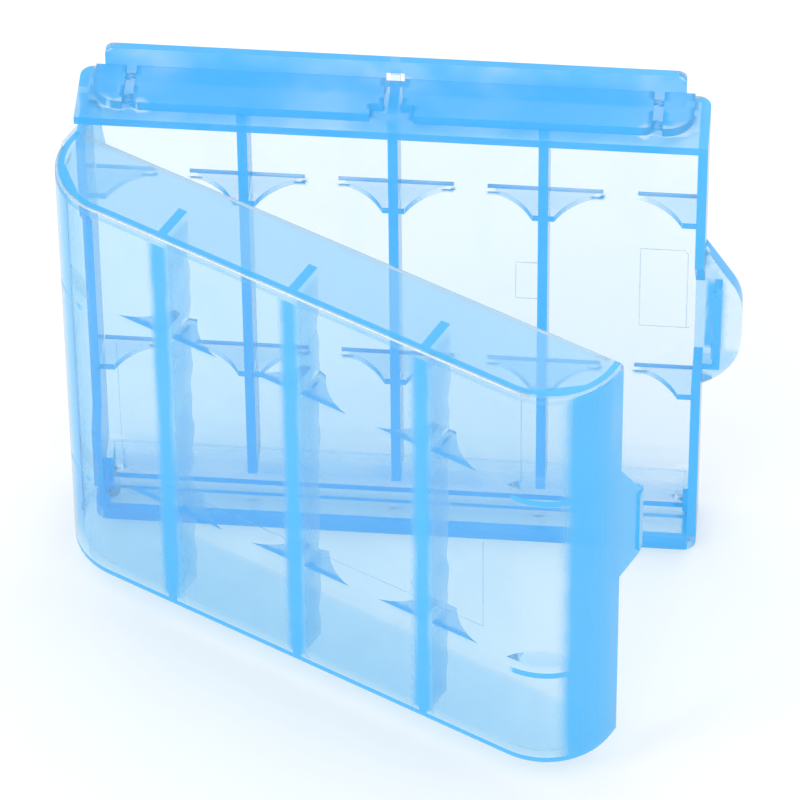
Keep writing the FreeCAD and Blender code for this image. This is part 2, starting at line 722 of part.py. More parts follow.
os.makedirs("parts", exist_ok=True)
for body in bodies:
    body.Shape.exportStep(os.path.join("parts", body.Label + ".step"))
    box = body.Shape.BoundBox
    print("%-14s %8.1f mm3  x %.2f to %.2f  y %.2f to %.2f  z %.2f to %.2f" % (
        body.Label, body.Shape.Volume, box.XMin, box.XMax, box.YMin, box.YMax, box.ZMin, box.ZMax))
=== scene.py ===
# %% [markdown]
# # A clear blue battery case
#
# The case is two thin polypropylene mouldings: a shallow tray with a rail on top, and a deeper lid
# that swings on moulded pins. Everything one sees is plastic, so the lesson is about one question:
# how does a thin, slightly cloudy, blue wall look, and why does it turn strong blue at its edges?

import bmesh
import bpy
import numpy as np
from mathutils import Matrix, Vector
from mathutils.bvhtree import BVHTree


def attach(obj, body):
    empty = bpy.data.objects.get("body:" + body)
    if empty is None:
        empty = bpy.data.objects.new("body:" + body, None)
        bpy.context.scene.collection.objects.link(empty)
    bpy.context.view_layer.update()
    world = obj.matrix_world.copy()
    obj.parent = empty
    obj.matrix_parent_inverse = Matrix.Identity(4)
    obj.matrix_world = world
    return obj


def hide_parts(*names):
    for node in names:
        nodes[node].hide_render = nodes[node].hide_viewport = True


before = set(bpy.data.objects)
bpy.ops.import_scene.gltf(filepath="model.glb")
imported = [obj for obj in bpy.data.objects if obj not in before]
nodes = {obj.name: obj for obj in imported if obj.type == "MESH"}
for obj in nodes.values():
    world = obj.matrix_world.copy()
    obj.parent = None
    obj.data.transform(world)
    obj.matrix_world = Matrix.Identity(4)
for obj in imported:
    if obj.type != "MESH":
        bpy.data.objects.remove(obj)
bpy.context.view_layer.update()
MM = 0.001
print("pieces of the model:", sorted(nodes))

# %% [markdown]
# ## The camera
#
# The picture is taken from a little above and a little to the right of the tray's middle, with a
# long lens. Its place, turn and lens come from matching the edges of both halves with straight
# lines of sight, so the numbers are given as they came out: turn, place and lens. Blender could aim
# a camera with a constraint, but the roll of half a degree is easier to give by the three axes.

# %% Camera
AZIMUTH, ELEVATION, ROLL = np.radians([5.0346, 46.0, -0.5878])
CAMERA_PLACE = np.array([59.4975, -664.6255, 717.2894]) * MM
SENSOR = 36
FOCAL = 7184.99 * SENSOR / 800

forward = np.array([-np.sin(AZIMUTH) * np.cos(ELEVATION),
                    np.cos(AZIMUTH) * np.cos(ELEVATION),
                    -np.sin(ELEVATION)])
level = np.array([np.cos(AZIMUTH), np.sin(AZIMUTH), 0.0])
upward = np.cross(level, forward)
right = level * np.cos(ROLL) + upward * np.sin(ROLL)
up = np.cross(right, forward)

camera = bpy.data.objects.new("camera", bpy.data.cameras.new("camera"))
bpy.context.scene.collection.objects.link(camera)
turn = Matrix(np.column_stack([right, up, -forward]).tolist()).to_4x4()
camera.matrix_world = Matrix.Translation(CAMERA_PLACE.tolist()) @ turn
camera.data.sensor_width = SENSOR
camera.data.lens = FOCAL
camera.data.clip_start, camera.data.clip_end = 0.05, 10
bpy.context.scene.camera = camera
print("lens %.1f mm, %.0f mm from the case" % (FOCAL, np.linalg.norm(CAMERA_PLACE) / MM))

# %% [markdown]
# ## Colours and node helper
#
# Colours are written as the screen shows them, in sRGB hex, and one function turns them into the
# linear values that shaders use. One more function adds a node with its settings and links, and a
# third starts a material with no nodes in it.


# %% Helpers for colour and nodes
def linear(hexa):
    """The linear colour of an sRGB hex: each channel is undone by the sRGB curve."""
    s = np.array([int(hexa[i:i + 2], 16) for i in (1, 3, 5)]) / 255
    c = np.where(s <= 0.04045, s / 12.92, ((s + 0.055) / 1.055) ** 2.4)
    return (*c.tolist(), 1.0)


def node(tree, kind, settings=(), links=()):
    """Add a node, set its properties and unlinked sockets, and link its inputs."""
    made = tree.nodes.new("ShaderNode" + kind)
    for name, value in dict(settings).items():
        if isinstance(name, str) and hasattr(made, name):
            setattr(made, name, value)
        else:
            made.inputs[name].default_value = value
    for name, source in dict(links).items():
        tree.links.new(source, made.inputs[name])
    return made


def empty_material(name):
    """Make a material that uses nodes, with none in it yet, and give it with its node tree."""
    material = bpy.data.materials.new(name)
    material.use_nodes = True
    material.node_tree.nodes.clear()
    return material, material.node_tree


print("mid grey #808080 is %.3f in linear light" % linear("#808080")[0])

# %% [markdown]
# ## How much plastic lies behind a surface
#
# Light that enters a cloudy plastic scatters and comes out coloured. A wall 1.2 mm thick stays
# almost clear, while a rim, a rib's front edge or a pad has several millimetres of plastic behind
# it and glows in full blue. True scattering could be traced inside the solid, but it is slow and
# noisy. Here the depth of plastic straight behind each corner of each face is measured once with a
# short ray, and stored on the mesh for the material to read.
#
# That needs a fine mesh, and one that is cut where the depth jumps. A solid's depth jumps where the
# plane of one of its own flat faces meets another face, so the mesh is cut along all those planes,
# and the border of a rib comes out crisp.


# %% Cut a mesh and make it fine
SAME_POINT = 0.002
SAME_PLANE = 0.05


def refine(mesh, longest, least):
    """Merge loose triangles, cut along the planes of large flat faces, and halve long edges.

    The longest edge left is in metres, and the least area of a face that cuts is in square
    millimetres. A plane is known by its normal, to a hundredth, and by its distance from the
    origin. The number of planes is given back.
    """
    bm = bmesh.new()
    bm.from_mesh(mesh)
    bmesh.ops.remove_doubles(bm, verts=bm.verts, dist=SAME_POINT * MM)
    bmesh.ops.dissolve_limit(bm, angle_limit=np.radians(0.4), verts=bm.verts, edges=bm.edges)
    planes = {}
    for face in bm.faces:
        if face.calc_area() > least * MM * MM:
            way = face.normal * (1 if sum(face.normal) > 0 else -1)
            away = way.dot(face.verts[0].co)
            key = (*[round(c * 100) for c in way], round(away / (SAME_PLANE * MM)))
            planes.setdefault(key, (way.copy(), away))
    for way, away in planes.values():
        bmesh.ops.bisect_plane(bm, geom=[*bm.verts, *bm.edges, *bm.faces],
                               dist=2 * SAME_POINT * MM, plane_co=way * away, plane_no=way)
    bmesh.ops.triangulate(bm, faces=bm.faces)
    for _ in range(8):
        long_edges = [e for e in bm.edges if e.calc_length() > longest]
        if not long_edges:
            break
        bmesh.ops.subdivide_edges(bm, edges=long_edges, cuts=1)
        bmesh.ops.triangulate(bm, faces=[f for f in bm.faces if len(f.verts) > 3])
    bm.to_mesh(mesh)
    bm.free()
    return len(planes)


# %% [markdown]
# ## The ray into the plastic
#
# Blender's ray casting works on a tree of the mesh's own triangles. Whole arrays of places and
# normals are read first, and only the rays run one by one.


# %% Measure the depth of plastic
def read_array(items, name, width, kind=float):
    """Read one property of all the items of a collection as an array with rows of a width."""
    values = np.empty(len(items) * width, kind)
    items.foreach_get(name, values)
    return values.reshape(-1, width) if width > 1 else values


def measure_depth(mesh, deepest, adjust):
    """Store at each face corner the length, in millimetres, of a ray sent into the solid.

    It starts an eighth of the way from the corner to the middle of the triangle, just under the
    surface, and runs straight against the triangle's normal. The last word is with adjust, if
    there is one, which gets the starting places in millimetres, the normals and the depths.
    """
    places = read_array(mesh.vertices, "co", 3)
    corner_vertex = read_array(mesh.loops, "vertex_index", 1, int)
    normals = np.repeat(read_array(mesh.polygons, "normal", 3), 3, axis=0)
    centres = np.repeat(read_array(mesh.polygons, "center", 3), 3, axis=0)
    start = places[corner_vertex] * 0.875 + centres * 0.125 - normals * 0.004 * MM
    tree = BVHTree.FromPolygons(places.tolist(), corner_vertex.reshape(-1, 3).tolist())
    far = deepest * MM
    rays = zip(start.tolist(), (-normals).tolist())
    found = [tree.ray_cast(place, way, far)[3] for place, way in rays]
    depth = np.array([far if f is None else f for f in found]) / MM
    if adjust:
        depth = adjust(start / MM, normals, depth)
    layer = mesh.attributes.new("plastic_depth", "FLOAT", "CORNER")
    layer.data.foreach_set("value", depth.astype(np.float32))
    return depth


# %% [markdown]
# ## Where the lid stands
#
# The lid is easier to describe closed, with its ribs across the X axis, than where it stands open
# in the picture. Two functions turn points between the two, about the moulded pins. A third finds
# the rib next to a point, and a fourth is the smooth step that blends one look into another.


# %% The lid's turn, and ways to find a place on either half
PIN = np.array([-38.82, 3.06, 0])
OPEN = np.radians(-26.76)
LID_TURN = np.array([[np.cos(OPEN), -np.sin(OPEN), 0], [np.sin(OPEN), np.cos(OPEN), 0], [0, 0, 1]])
PITCH = 19.63


def turned_lid(points):
    """Points in millimetres of the closed lid, turned about the pins to where it stands open."""
    return PIN + (np.asarray(points, float) - PIN) @ LID_TURN.T


def closed_lid(points):
    """Points in millimetres where the lid stands open, turned back to the closed lid."""
    return PIN + (np.asarray(points, float) - PIN) @ LID_TURN


def nearest_rib(x):
    """The number of the nearest of the three ribs, -1, 0 or 1, and how far off its middle is."""
    rib = np.clip(np.round(x / PITCH), -1, 1)
    return rib, np.abs(x - rib * PITCH)


def soft_step(value, low, high):
    """0 below low, 1 above high, and 3 t^2 - 2 t^3 between them."""
    t = np.clip((value - low) / (high - low), 0, 1)
    return t * t * (3 - 2 * t)


print("the lid stands %.2f degrees open, its ribs are %.2f mm apart" % (-np.degrees(OPEN), PITCH))

# %% [markdown]
# ## Where the tray's glow is painted
#
# A measured depth can't tell where light gathers. The rail above the bays is made cloudier, the
# light that the foot catches in its front and in the two strips under the floor is painted in, and
# the finger tab is painted full blue behind the catch and clear beyond it. The depth is raised or
# lowered there, so that the same finish draws it all.


# %% The tray's glow
RAIL_LOW, FLANGE_LOW = 74.6, 76.0
SKIRT_TOP = 2.3
TRAY_SIDE, TRAY_BACK = 39.75, 8.6
TRAY_SEATS, SEAT_GAUGE = (26.2, 58.3), 1.0
TAB_SIDE = 41.1


def tray_depth_and_painted_light(place, normal, depth):
    """The depth of the tray with the places where it looks deeper or barer than it is.

    place is in millimetres. Each step is: where a place belongs to a form, the depth there is at
    least, at most or exactly a value, and most steps paint light in or out. 1.4 mm looks bare and
    4.2 mm full blue.
    """
    x, y, z = place.T
    front, lying = normal[:, 1] < -0.9, normal[:, 2] > 0.9
    # The rail, its pads and its flange
    cloudy = np.where(z > FLANGE_LOW, 3.1, np.where(lying, 2.75, 2.9))
    depth = np.where(z > RAIL_LOW, np.maximum(depth, cloudy), depth)
    # The skirt's front, and the floor with the two strips that lie under it: painted light caught
    # in the foot
    depth = np.where(front & (z < SKIRT_TOP) & (y < 0.1), np.maximum(depth, 4.2), depth)
    bare_floor = 1.2 + 1.3 * soft_step(y, 4.5, 8.6)
    floor = np.where(depth > 1.7, 4.8, np.where(depth > 1.2, 3.3, bare_floor))
    depth = np.where(lying & (z > 2.0) & (z < 2.5), floor, depth)
    depth = np.where(lying & (z > 6.5) & (z < 7.1), 0.9, depth)
    # The foot of the back wall, painted bluer at the bottom and fading out upwards
    low_wall = front & (y > 7.5) & (z > SKIRT_TOP) & (z < 11) & (np.abs(x) < TRAY_SIDE - 0.05)
    fading = 1.3 + 1.0 * (1 - soft_step(z, 2.5, 10.5))
    depth = np.where(low_wall, np.maximum(depth, fading), depth)
    # The curved edges of the seats, which are thin and stay pale
    at_seat = np.min([np.abs(z - level) for level in TRAY_SEATS], axis=0) < 0.8
    curved = (np.abs(normal[:, 2]) < 0.5) & (normal[:, 1] >= -0.97)
    inside = (y < TRAY_BACK - 0.1) & (np.abs(x) < TRAY_SIDE - 0.25)
    pale = at_seat & curved & inside & (nearest_rib(x)[1] > 1.3)
    depth = np.where(pale, np.minimum(depth, 1.9), depth)
    # The finger tab: painted blue, full blue at the catch's height, and painted clear beyond the
    # catch
    tab = (x > TAB_SIDE) & (y > 6) & front
    middle = soft_step(z, 30.8, 32.4) * (1 - soft_step(z, 43.4, 45.0))
    return np.where(tab, 2.3 + middle * (1.0 - 2.2 * soft_step(x, 42.6, 44.6)), depth)


# %% [markdown]
# ## Where the lid's glow is painted
#
# The lid's top edge is kept bare, as painted light from above, and its left end is made barer too.
# Light running along the right end's wall is painted in, leaving it in full blue. The seats at the
# ribs are cloudy. The crescent seats in the ends are too thin to show but for their edges, and so
# is the floor. The latch's tongue and the catch lie close together, so that the tongue looks twice
# as thick as it is.


# %% The lid's glow, and the latch's
LEFT, RIGHT, FACE, RIM, TOP = -39.87, 42.57, -11.55, -0.25, 72.96
LID_ROOF = 71.7
LEFT_END, RIGHT_END = -33, 38.0
FIRST_SEAT, LAST_SEAT = -30, 33


def lid_depth_and_painted_light(place, normal, depth):
    """The depth of the lid with the places where it looks deeper or barer than it is.

    place is in millimetres, where the lid stands open, and is turned back to the closed lid. The
    top edge and the right end get painted light.
    """
    x, y, z = closed_lid(place).T
    upright, lying = np.abs(normal[:, 2]) < 0.5, (np.abs(normal[:, 2]) > 0.9) & (z < 71)
    # Painted light from above: the top edge is kept bare
    depth = np.where((z > LID_ROOF) & (normal[:, 2] < 0.95), np.minimum(depth, 1.9), depth)
    left_end = (x < LEFT_END) & (y > -10.9) & upright & (z < LID_ROOF)
    depth = np.where(left_end, depth * 0.42, depth)
    # Painted light along the right end's wall, in full blue
    glow = 1.25 + 3.6 * soft_step(x, RIGHT_END, 42.3) * (1 - 0.8 * soft_step(x, 42.2, 42.55))
    depth = np.where((x > RIGHT_END) & upright, np.maximum(depth, glow), depth)
    between = (x > FIRST_SEAT) & (x < LAST_SEAT)
    seat = lying & (z > 6) & between
    cloudy = 2.3 + 2.4 * (1 - soft_step(y, -10.2, -9.3))
    depth = np.where(seat, np.maximum(depth, cloudy), depth)
    depth = np.where(lying & ~seat, 0.1, depth)
    # On the face: full blue in front of a rib, fading out beside it, and none in front of a seat
    aside = nearest_rib(x)[1]
    beside = (y < FACE + 0.15) & (z > 5.1) & (z < LID_ROOF) & between & (aside > 0.65)
    return np.where(beside, 1.25 + 1.5 * (1 - soft_step(aside, 0.5, 2.1)), depth)


def latch_glow(place, normal, depth):
    """The depth of the latch's tongue, at least 2.7 mm for tongue and catch together."""
    return np.maximum(depth, 2.7)


# %% [markdown]
# ## Uneven edges of the ribs
#
# The free edges of the lid's ribs are where the melt arrives last, and in the real lid they are
# wavy. A texture could only paint that, so the points of the mesh are moved.


# %% Waves along the ribs
WAVE_HEIGHT = 0.35
LONG_WAVE, SHORT_WAVE = 2.1, 0.93


def wavy_ribs(points):
    """Points of the lid in millimetres, with the free edges of its ribs made uneven.

    Near a rib, a point moves in or out by the wave's height times a sum of two sine waves along
    the cells, 2 pi times 2.1 mm and 2 pi times 0.93 mm long, and by nothing at the rib's root and
    at both its ends.
    """
    closed = closed_lid(points)
    x, y, z = closed.T
    rib, aside = nearest_rib(x)
    share = soft_step(y, -9.4, -6.4) * soft_step(z, 6, 10) * (1 - soft_step(z, 66, 70))
    wave = (0.6 * np.sin(z / LONG_WAVE + 1.7 * rib)
            + 0.5 * np.sin(z / SHORT_WAVE + 2.9 * rib))
    closed[:, 1] += np.where(aside < 0.9, WAVE_HEIGHT * share * wave, 0)
    return turned_lid(closed)


# %% [markdown]
# ## The two mouldings and their tongues
#
# The case is two injection mouldings, and each has a springy tongue. The CAD solids have their true
# shapes, so each visible piece starts as a copy of its solid instead of a new surface. The copy's
# facets are made small, so that the measured depth changes smoothly, and shaded smooth except
# across real edges. The longest edges are chosen to keep each piece under 200,000 triangles.


# %% Dress the CAD solids
DEEPEST = 12
SHARP = np.radians(28)


def show(name, mesh, body):
    """Make a piece of the model from a mesh, shaded smooth, that moves with a body."""
    mesh.polygons.foreach_set("use_smooth", np.ones(len(mesh.polygons), bool))
    piece = bpy.data.objects.new(name, mesh)
    bpy.context.scene.collection.objects.link(piece)
    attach(piece, body)
    return piece


def dress(name, body, longest, least, adjust=None, bend=None):
    """Copy a CAD solid, refine it, measure its depth and let the copy stand for it."""
    mesh = nodes[name].data.copy()
    mesh.name = name + "_moulding"
    cuts = refine(mesh, longest * MM, least)
    if bend:
        bent = bend(read_array(mesh.vertices, "co", 3) / MM) * MM
        mesh.vertices.foreach_set("co", bent.ravel())
        mesh.update()
    depth = measure_depth(mesh, DEEPEST, adjust)
    piece = show(mesh.name, mesh, body)
    mesh.set_sharp_from_angle(angle=SHARP)
    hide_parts(name)
    print("%s: %d cuts, %d triangles, depth %.2f to %.2f mm, middle %.2f" % (
        name, cuts, len(mesh.polygons), depth.min(), depth.max(), np.median(depth)))
    return piece


tray = dress("tray", "tray", 1.6, 14, tray_depth_and_painted_light)
lid = dress("lid", "lid", 1.9, 16, lid_depth_and_painted_light, wavy_ribs)
latch = dress("latch_tongue", "latch_tongue", 0.8, 4, latch_glow)
link = dress("link_tongue", "link_tongue", 0.5, 1)

# %% [markdown]
# ## Rounded rims and mould lines
#
# A mould is polished, and its corners are never quite sharp, so the outer edges are round
# with a radius of some tenths of a millimetre. Such an edge mirrors the room to the eye as a thin
# bright line. A Bevel modifier would round every edge, sharp ones too. Here each bright edge is a
# fine round bead that lies just inside the corner of the solid, white, as a painted highlight
# beside its real gloss. The same tool, thinner still, draws the witness lines that the mould's
# inserts leave.


# %% Tubes along paths
def tube(paths, radius, around):
    """Vertices and faces of closed tubes along polylines, in millimetres.

    At each point of a path, a circle stands across the path's direction there:
    point + radius * (cos t * side + sin t * other), with t over a full turn. Both ends are closed.
    """
    vertices, faces, base = [], [], 0
    t = np.linspace(0, 2 * np.pi, around, endpoint=False)
    for path in paths:
        path = np.asarray(path, float)
        along = np.gradient(path, axis=0)
        along /= np.linalg.norm(along, axis=1, keepdims=True)
        helper = np.where(np.abs(along[:, 2:]) > 0.8, [[0.3, 1.0, 0.0]], [[0.0, 0.0, 1.0]])
        side = np.cross(along, helper)
        side /= np.linalg.norm(side, axis=1, keepdims=True)
        other = np.cross(along, side)
        rings = path[:, None] + radius * (np.cos(t)[None, :, None] * side[:, None]
                                          + np.sin(t)[None, :, None] * other[:, None])
        vertices.append(rings.reshape(-1, 3))
        i, j = np.meshgrid(np.arange(len(path) - 1), np.arange(around), indexing="ij")
        k = (j + 1) % around
        quads = np.stack([i * around + j, i * around + k,
                          (i + 1) * around + k, (i + 1) * around + j], -1)
        faces += (quads.reshape(-1, 4)[:, ::-1] + base).tolist()
        faces.append((np.arange(around) + base).tolist())
        faces.append((np.arange(around)[::-1] + base + (len(path) - 1) * around).tolist())
        base += len(path) * around
    return np.concatenate(vertices), faces


def polyline(corners, step=1.5):
    """Points along straight runs between corners, at even steps of about the given length."""
    corners = np.asarray(corners, float)
    runs = []
    for start, end in zip(corners[:-1], corners[1:]):
        count = max(2, int(np.linalg.norm(end - start) / step))
        share = np.linspace(0, 1, count, endpoint=False)[:, None]
        runs.append(start + (end - start) * share)
    return np.concatenate([*runs, corners[-1:]])


def add_tubes(name, paths, radius, around, body):
    """Make a piece of the model from tubes along paths in millimetres, with faces outwards."""
    vertices, faces = tube(paths, radius, around)
    mesh = bpy.data.meshes.new(name)
    mesh.from_pydata((vertices * MM).tolist(), [], faces)
    bm = bmesh.new()
    bm.from_mesh(mesh)
    bmesh.ops.recalc_face_normals(bm, faces=bm.faces)
    bm.to_mesh(mesh)
    bm.free()
    print("%s: %d faces" % (name, len(mesh.polygons)))
    return show(name, mesh, body)


# %% [markdown]
# ## The lid's bright rim, a painted highlight
#
# From above, the real lid shows two bright lines: its free rim, and the edge between its top and
# its face, which runs on around the left end. Both are drawn as white beads, a painted highlight.


# %% Beads along the lid's top edges
BEAD = 0.2
END_RADIUS = 9.9
SHORTENED = 9


def face_edge(level, inset):
    """The lid's outline seen from above, set in from the face, at one level.

    At each end it is a quarter circle, centre + r * (cos t, -sin t), and between them a straight
    run.
    """
    t = np.radians(np.linspace(10, 90, 12))
    r = END_RADIUS - inset
    low = FACE + END_RADIUS - r * np.sin(t)
    first = np.column_stack([LEFT + END_RADIUS - r * np.cos(t), low])
    last = np.column_stack([RIGHT - END_RADIUS + r * np.cos(t), low])[::-1]
    run = np.linspace(first[-1, 0], last[0, 0], 40)[1:-1]
    plan = np.concatenate([first, np.column_stack([run, np.full(38, FACE + inset)]), last])
    return np.column_stack([plan, np.full(len(plan), level)])


free_rim = np.linspace((LEFT + 2, RIM - BEAD, TOP - BEAD), (RIGHT - 2, RIM - BEAD, TOP - BEAD), 40)
rim_paths = [free_rim, face_edge(TOP - 0.36, 0.36)[:-SHORTENED]]
# The beads are a painted highlight along the free rim and the top edge
rim_highlight_bead = add_tubes("lid_rim_painted_highlight", [turned_lid(p) for p in rim_paths], BEAD, 8,
                     "lid")

# %% [markdown]
# ## Witness lines of the mould's inserts
#
# Where an insert meets the rest of the mould, it leaves a line as fine as a hair: around a plain
# field of the lid's face and beside it, and around two places in the tray's back. They could be a
# bump in the finish, but a thin tube keeps its width at any distance. The lines are drawn 0.12 mm
# wide, as coarse as they need to be to show.

# %% Witness lines
LINE = 0.06
on_face = FACE + LINE * 0.9
lid_lines = [
    polyline([(-26.85, on_face, 50.0), (-26.7, on_face, 27.0),
              (28.8, on_face, 27.0), (28.8, on_face, 43.0)]),
    polyline([(34.35, on_face, 57.3), (34.3, on_face, 71.9)]),
]
lid_witness = add_tubes("lid_witness_lines", [turned_lid(p) for p in lid_lines], LINE, 6,
                        "lid")

on_back = TRAY_BACK - LINE * 0.3
tray_lines = [
    polyline([(38.6, on_back, 48.0), (38.2, on_back, 48.7), (32.3, on_back, 48.7),
              (32.3, on_back, 34.3), (39.0, on_back, 34.3)]),
    polyline([(38.6, on_back, 48.0), (38.6, on_back, 34.3)]),
    polyline([(18.8, on_back, 45.0), (15.8, on_back, 45.0),
              (15.8, on_back, 38.3), (18.8, on_back, 38.3)]),
]
tray_witness = add_tubes("tray_witness_lines", tray_lines, LINE, 6, "tray")

# %% [markdown]
# ## Fillets behind the seats
#
# Where a seat meets the back wall, the mould leaves a small fillet, so that the seat doesn't break
# off. The plastic is thickest there and looks full blue, as a straight line behind each seat. A
# bead half sunk into the corner gives that line from every side.

# %% Fillets behind the tray's seats
FILLET = 0.27
SEAT_SPANS = [(-35.7, 3.9), (-PITCH, 7.6), (0.0, 7.6), (PITCH, 7.6), (35.7, 3.9)]
corner = TRAY_BACK - FILLET * 0.5
fillet_lines = []
for seat in TRAY_SEATS:
    level = seat + SEAT_GAUGE / 2 + FILLET * 0.5
    for middle, half in SEAT_SPANS:
        ends = [(middle - half, corner, level), (middle + half, corner, level)]
        fillet_lines.append(polyline(ends))
seat_fillets = add_tubes("tray_seat_fillets", fillet_lines, FILLET, 8, "tray")

# %% [markdown]
# ## Clear blue polypropylene, injection moulded
#
# Polypropylene is a little cloudy, with an index of about 1.49, and a polished mould leaves it
# glossy. Three things make the finish: the surface lets most light through where little plastic
# lies behind it, it shows its own blue where much does, and it mirrors a little light, more and
# more towards grazing sight. The tint along the path inside the wall is a plain absorption, which
# takes red first, some green and no blue. Walls that lie flat, facing up or down, are made a little
# milkier, as painted light from above. Only faces turned to the eye are cloudy, so a wall isn't
# counted twice.
#
# A glass shader would be simpler to set, but it bends every ray, and sight through so many thin
# walls then needs many more bounces and samples before it is clean.


# %% The plastic's finish
BARE_PATH, FULL_PATH = 1.4, 4.2
LEAST_COVER, MOST_COVER = 0.07, 0.96
FLOW_SIZE, WAVE_SIZE = 9, 5


def plastic_cover(tree, place, flat_painted_light):
    """Three outputs: the glow of the depth, the share of own blue, and 1 on faces to the eye.

    The sight's path inside a wall is depth / (1.12 - facing), about eight times the depth where
    sight grazes the wall. The glow rises with the path as a smooth step. The share is the glow, or
    the painted light from above on walls that lie flat if that is more, and nothing on faces turned
    away.
    """
    depth = node(tree, "Attribute", {"attribute_name": "plastic_depth"}).outputs["Fac"]
    flow = node(tree, "TexNoise", {"Scale": 1 / (FLOW_SIZE * MM), "Detail": 2.0},
                {"Vector": place.outputs["Object"]}).outputs["Fac"]
    drift = node(tree, "MapRange",
                 {"From Min": 0.3, "From Max": 0.7, "To Min": 0.9, "To Max": 1.1},
                 {"Value": flow}).outputs["Result"]
    grazing = node(tree, "LayerWeight", {"Blend": 0.5}).outputs["Facing"]
    slope = node(tree, "Math", {"operation": "SUBTRACT", 0: 1.12}, {1: grazing}).outputs[0]
    drifting = node(tree, "Math", {"operation": "MULTIPLY"}, {0: depth, 1: drift}).outputs[0]
    path = node(tree, "Math", {"operation": "DIVIDE"}, {0: drifting, 1: slope}).outputs[0]
    glow = node(tree, "MapRange",
                {"interpolation_type": "SMOOTHSTEP", "From Min": BARE_PATH, "From Max": FULL_PATH,
                 "To Min": LEAST_COVER, "To Max": MOST_COVER}, {"Value": path}).outputs["Result"]
    # Painted light from above: flat walls get more of their own blue
    upright = node(tree, "SeparateXYZ", {}, {0: place.outputs["Normal"]}).outputs["Z"]
    steep = node(tree, "Math", {"operation": "ABSOLUTE"}, {0: upright}).outputs[0]
    lying = node(tree, "MapRange",
                 {"From Min": 0.4, "From Max": 0.95, "To Min": 0.0, "To Max": flat_painted_light},
                 {"Value": steep}).outputs["Result"]
    solid = node(tree, "Math", {"operation": "GREATER_THAN", 1: 0.5}, {0: depth}).outputs[0]
    flat_painted_share = node(tree, "Math", {"operation": "MULTIPLY"}, {0: lying, 1: solid}).outputs[0]
    either = node(tree, "Math", {"operation": "MAXIMUM"}, {0: glow, 1: flat_painted_share}).outputs[0]
    away = node(tree, "NewGeometry").outputs["Backfacing"]
    facing = node(tree, "Math", {"operation": "SUBTRACT", 0: 1.0}, {1: away}).outputs[0]
    seen = node(tree, "Math", {"operation": "MULTIPLY"}, {0: either, 1: facing}).outputs[0]
    return glow, seen, facing


def clear_polypropylene(name, light, full, tint, density, flat_painted_light):
    """Build the finish: cover by depth and lie, colour by depth, gloss by Fresnel, tint by path."""
    material, tree = empty_material(name)
    place = node(tree, "TexCoord")
    glow, seen, facing = plastic_cover(tree, place, flat_painted_light)
    # Scattered light isn't lost: for light on its way to other surfaces, the plastic is clearer
    ray = node(tree, "LightPath")
    side = node(tree, "Math", {"operation": "MAXIMUM"},
                {0: ray.outputs["Is Shadow Ray"], 1: ray.outputs["Is Diffuse Ray"]}).outputs[0]
    passed = node(tree, "Math", {"operation": "MULTIPLY_ADD", 1: -0.7, 2: 1.0},
                  {0: side}).outputs[0]
    cover = node(tree, "Math", {"operation": "MULTIPLY"}, {0: seen, 1: passed}).outputs[0]
    colour = node(tree, "Mix", {"data_type": "RGBA", 6: linear(light), 7: linear(full)},
                  {0: glow}).outputs[2]
    through = node(tree, "BsdfTransparent").outputs[0]
    front = node(tree, "BsdfDiffuse", {}, {"Color": colour}).outputs[0]
    behind = node(tree, "BsdfTranslucent", {}, {"Color": colour}).outputs[0]
    own = node(tree, "MixShader", {0: 0.5}, {1: front, 2: behind}).outputs[0]
    body = node(tree, "MixShader", {}, {0: cover, 1: through, 2: own}).outputs[0]
    fresnel = node(tree, "Fresnel", {"IOR": 1.49}).outputs[0]
    mirror = node(tree, "Math", {"operation": "MULTIPLY"}, {0: fresnel, 1: facing}).outputs[0]
    # Long shallow waves of the surface bend the mirrored light
    wave = node(tree, "TexNoise", {"Scale": 1 / (WAVE_SIZE * MM), "Detail": 1.0},
                {"Vector": place.outputs["Object"]}).outputs["Fac"]
    bent = node(tree, "Bump", {"Strength": 0.25, "Distance": 0.1 * MM}, {"Height": wave}).outputs[0]
    gloss = node(tree, "BsdfGlossy", {"Roughness": 0.1}, {"Normal": bent}).outputs[0]
    surface = node(tree, "MixShader", {}, {0: mirror, 1: body, 2: gloss}).outputs[0]
    inner = node(tree, "VolumeAbsorption",
                 {"Color": linear(tint), "Density": density}).outputs[0]
    node(tree, "OutputMaterial", {}, {"Surface": surface, "Volume": inner})
    print("%s: %d nodes" % (name, len(tree.nodes)))
    return material


# %% [markdown]
# ## One plastic, two mouldings
#
# Both halves are the same plastic. The lid stands nearer to the eye and its walls overlap, so it
# looks a little deeper in colour, and its flat walls get more painted light from above. So it gets
# a finish of its own.

# %% Give the mouldings their plastic
tray_finish = clear_polypropylene("clear_blue_polypropylene_tray", light="#A2DAF9",
                                  full="#48BFFF", tint="#00CEFF", density=90, flat_painted_light=0.42)
lid_finish = clear_polypropylene("clear_blue_polypropylene_lid", light="#9ED6F8",
                                 full="#54C6FF", tint="#00D8FF", density=135, flat_painted_light=0.56)
for finish, pieces in ((tray_finish, (tray, link)), (lid_finish, (lid, latch))):
    for piece in pieces:
        piece.data.materials.clear()
        piece.data.materials.append(finish)
